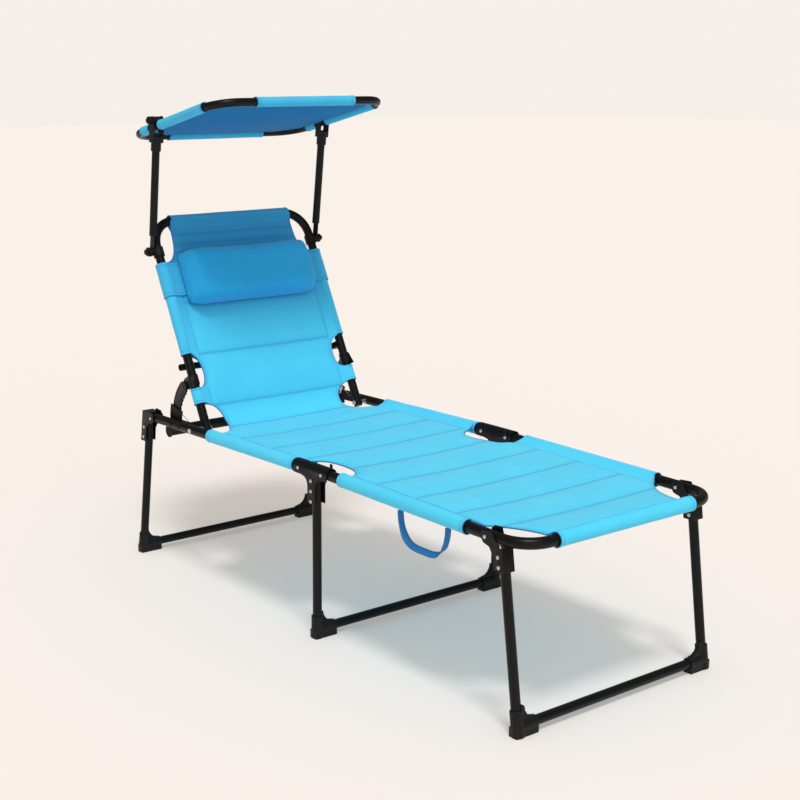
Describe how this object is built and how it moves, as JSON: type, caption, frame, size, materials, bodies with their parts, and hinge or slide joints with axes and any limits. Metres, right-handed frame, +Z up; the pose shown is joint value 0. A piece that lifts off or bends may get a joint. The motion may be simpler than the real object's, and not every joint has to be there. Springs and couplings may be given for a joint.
{
  "type": "folding sun lounger with canopy",
  "caption": "Folding three-section sun lounger on round tube legs, with a ratchet backrest, a sliding head pillow and a tilting canopy on two posts.",
  "frame": {"origin": "on the floor, under the middle of the outline of the lounger set up as in the picture", "axes": "+X across the lounger, +Y from the feet to the head, +Z up"},
  "size_m": [0.6116, 1.6048, 1.2626],
  "materials": {
    "black_steel": "smooth semi-gloss black powder coat",
    "black_plastic": "fine matt black moulded plastic",
    "sky_cloth": "sky blue woven polyester, quilted with a thin filling",
    "pillow_cloth": "mid blue woven polyester over soft filling",
    "webbing": "blue woven webbing",
    "zinc_steel": "bright zinc plate"
  },
  "bodies": {
    "seat": {"seat_rail_far": "black_steel", "seat_rail_near": "black_steel", "seat_cross_tube": "black_steel", "back_pivot_far": "zinc_steel", "back_pivot_near": "zinc_steel", "ratchet_housing_far": "black_plastic", "ratchet_housing_near": "black_plastic", "seat_panel": "sky_cloth"},
    "back": {"back_frame": "black_steel", "back_cross_bar": "black_steel", "back_panel": "sky_cloth", "ratchet_arm_far": "black_steel", "ratchet_arm_near": "black_steel", "post_clamp_far": "black_plastic", "post_clamp_near": "black_plastic"},
    "posts": {"post_far": "black_steel", "post_near": "black_steel", "post_fork_far": "black_plastic", "post_fork_near": "black_plastic"},
    "canopy": {"canopy_frame": "black_steel", "canopy_cloth": "sky_cloth", "canopy_saddle_far": "black_plastic", "canopy_saddle_near": "black_plastic"},
    "pillow_set": {"pillow": "pillow_cloth", "pillow_band": "sky_cloth"},
    "foot_section": {"foot_frame": "black_steel", "foot_panel": "sky_cloth"},
    "strap": {"carry_strap": "webbing"},
    "head_legs": {"head_bracket_far": "black_steel", "head_bracket_near": "black_steel", "head_leg_far": "black_steel", "head_leg_near": "black_steel", "head_crossbar": "black_steel", "head_foot_far": "black_plastic", "head_foot_near": "black_plastic"},
    "middle_legs": {"middle_bracket_far": "black_steel", "middle_bracket_near": "black_steel", "middle_leg_far": "black_steel", "middle_leg_near": "black_steel", "middle_crossbar": "black_steel", "middle_foot_far": "black_plastic", "middle_foot_near": "black_plastic"},
    "foot_legs": {"foot_bracket_far": "black_steel", "foot_bracket_near": "black_steel", "foot_leg_far": "black_steel", "foot_leg_near": "black_steel", "foot_crossbar": "black_steel", "foot_foot_far": "black_plastic", "foot_foot_near": "black_plastic"},
    "post_knob_screw_far": {"post_knob_far": "black_plastic"},
    "post_knob_screw_near": {"post_knob_near": "black_plastic"},
    "canopy_knob_screw_far": {"canopy_knob_far": "black_plastic"},
    "canopy_knob_screw_near": {"canopy_knob_near": "black_plastic"},
    "pawl_far": {"ratchet_pawl_far": "zinc_steel"},
    "pawl_near": {"ratchet_pawl_near": "zinc_steel"}
  },
  "joints": [
    {"name": "backrest_tilt", "type": "hinge", "parent": "seat", "child": "back", "pos_m": [0, 0.47125, 0.40806], "axis": [1, 0, 0], "range_deg": [-61.4, 11]},
    {"name": "post_fold", "type": "hinge", "parent": "back", "child": "posts", "pos_m": [0, 0.69423, 0.85335], "axis": [1, 0, 0], "range_deg": [-12, 60]},
    {"name": "canopy_tilt", "type": "hinge", "parent": "posts", "child": "canopy", "pos_m": [0, 0.64673, 1.20011], "axis": [1, 0, 0], "range_deg": [-12, 35]},
    {"name": "head_legs_fold", "type": "hinge", "parent": "seat", "child": "head_legs", "pos_m": [0, 0.67023, 0.40528], "axis": [-1, 0, 0], "range_deg": [0, 98]},
    {"name": "middle_legs_fold", "type": "hinge", "parent": "seat", "child": "middle_legs", "pos_m": [0, -0.0257, 0.415], "axis": [1, 0, 0], "range_deg": [0, 80]},
    {"name": "foot_section_fold", "type": "hinge", "parent": "middle_legs", "child": "foot_section", "pos_m": [0, -0.1177, 0.415], "axis": [1, 0, 0], "range_deg": [0, 80], "deforming": ["carry_strap"]},
    {"name": "foot_legs_fold", "type": "hinge", "parent": "foot_section", "child": "foot_legs", "pos_m": [0, -0.68267, 0.40908], "axis": [1, 0, 0], "range_deg": [0, 98], "deforming": ["carry_strap"]},
    {"name": "pillow_slide", "type": "slide", "parent": "back", "child": "pillow_set", "axis": [0, 0.4478, 0.8942], "range_m": [-0.15, 0.018]},
    {"name": "post_knob_turn_far", "type": "hinge", "parent": "back", "child": "post_knob_screw_far", "pos_m": [0.275, 0.69423, 0.85335], "axis": [1, 0, 0], "continuous": true},
    {"name": "canopy_knob_turn_far", "type": "hinge", "parent": "posts", "child": "canopy_knob_screw_far", "pos_m": [0.287, 0.64673, 1.20011], "axis": [1, 0, 0], "continuous": true},
    {"name": "pawl_turn_far", "type": "hinge", "parent": "seat", "child": "pawl_far", "pos_m": [0.2645, 0.56963, 0.43469], "axis": [-1, 0, 0], "range_deg": [0, 12], "stiffness_Nm_per_rad": 0.02, "springref_deg": -17.19},
    {"name": "post_knob_turn_near", "type": "hinge", "parent": "back", "child": "post_knob_screw_near", "pos_m": [-0.275, 0.69423, 0.85335], "axis": [1, 0, 0], "continuous": true},
    {"name": "canopy_knob_turn_near", "type": "hinge", "parent": "posts", "child": "canopy_knob_screw_near", "pos_m": [-0.287, 0.64673, 1.20011], "axis": [1, 0, 0], "continuous": true},
    {"name": "pawl_turn_near", "type": "hinge", "parent": "seat", "child": "pawl_near", "pos_m": [-0.2645, 0.56963, 0.43469], "axis": [-1, 0, 0], "range_deg": [0, 12], "stiffness_Nm_per_rad": 0.02, "springref_deg": -17.19},
    {"name": "carry_strap_swing", "type": "hinge", "parent": "foot_section", "child": "strap", "pos_m": [-0.2885, -0.4717, 0.411], "axis": [0, 1, 0], "range_deg": [-40, 95]}
  ]
}
